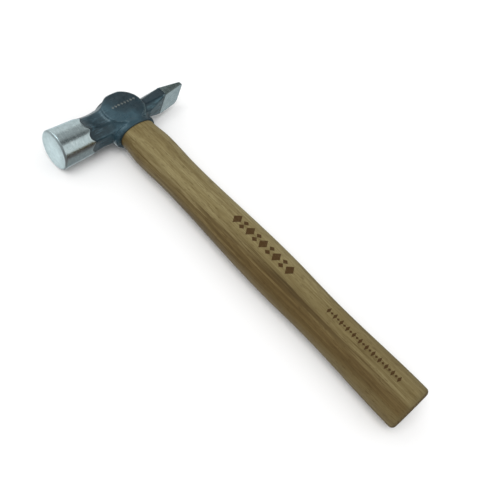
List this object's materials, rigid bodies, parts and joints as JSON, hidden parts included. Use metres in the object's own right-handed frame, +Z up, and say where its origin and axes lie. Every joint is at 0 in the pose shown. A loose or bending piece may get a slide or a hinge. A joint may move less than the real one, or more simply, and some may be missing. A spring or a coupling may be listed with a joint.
{
  "type": "cross-pein hammer",
  "caption": "Hand hammer with a forged steel head, round poll, wedge-shaped cross pein and flat cheek bosses, on an oval hickory handle.",
  "frame": {"origin": "centre of the overall box, on the plane that the hammer lies on when its handle is level", "axes": "+X along the handle from the head to the butt; +Y along the head from the striking face to the pein; +Z up, square to the cheek that faces up"},
  "size_m": [0.2922, 0.1114, 0.0284],
  "materials": {
    "forged_steel": "dark blue-grey lacquer over forged steel, with the poll and the pein ground bright",
    "hickory": "sanded and thinly varnished, grain along the handle",
    "wedge_wood": "sawn and sanded flush",
    "wedge_steel": "rolled steel, ground flush"
  },
  "bodies": {
    "root": {"head": "forged_steel", "handle": "hickory", "wooden_wedge": "wedge_wood", "steel_wedge_face_side": "wedge_steel", "steel_wedge_pein_side": "wedge_steel"}
  },
  "joints": []
}
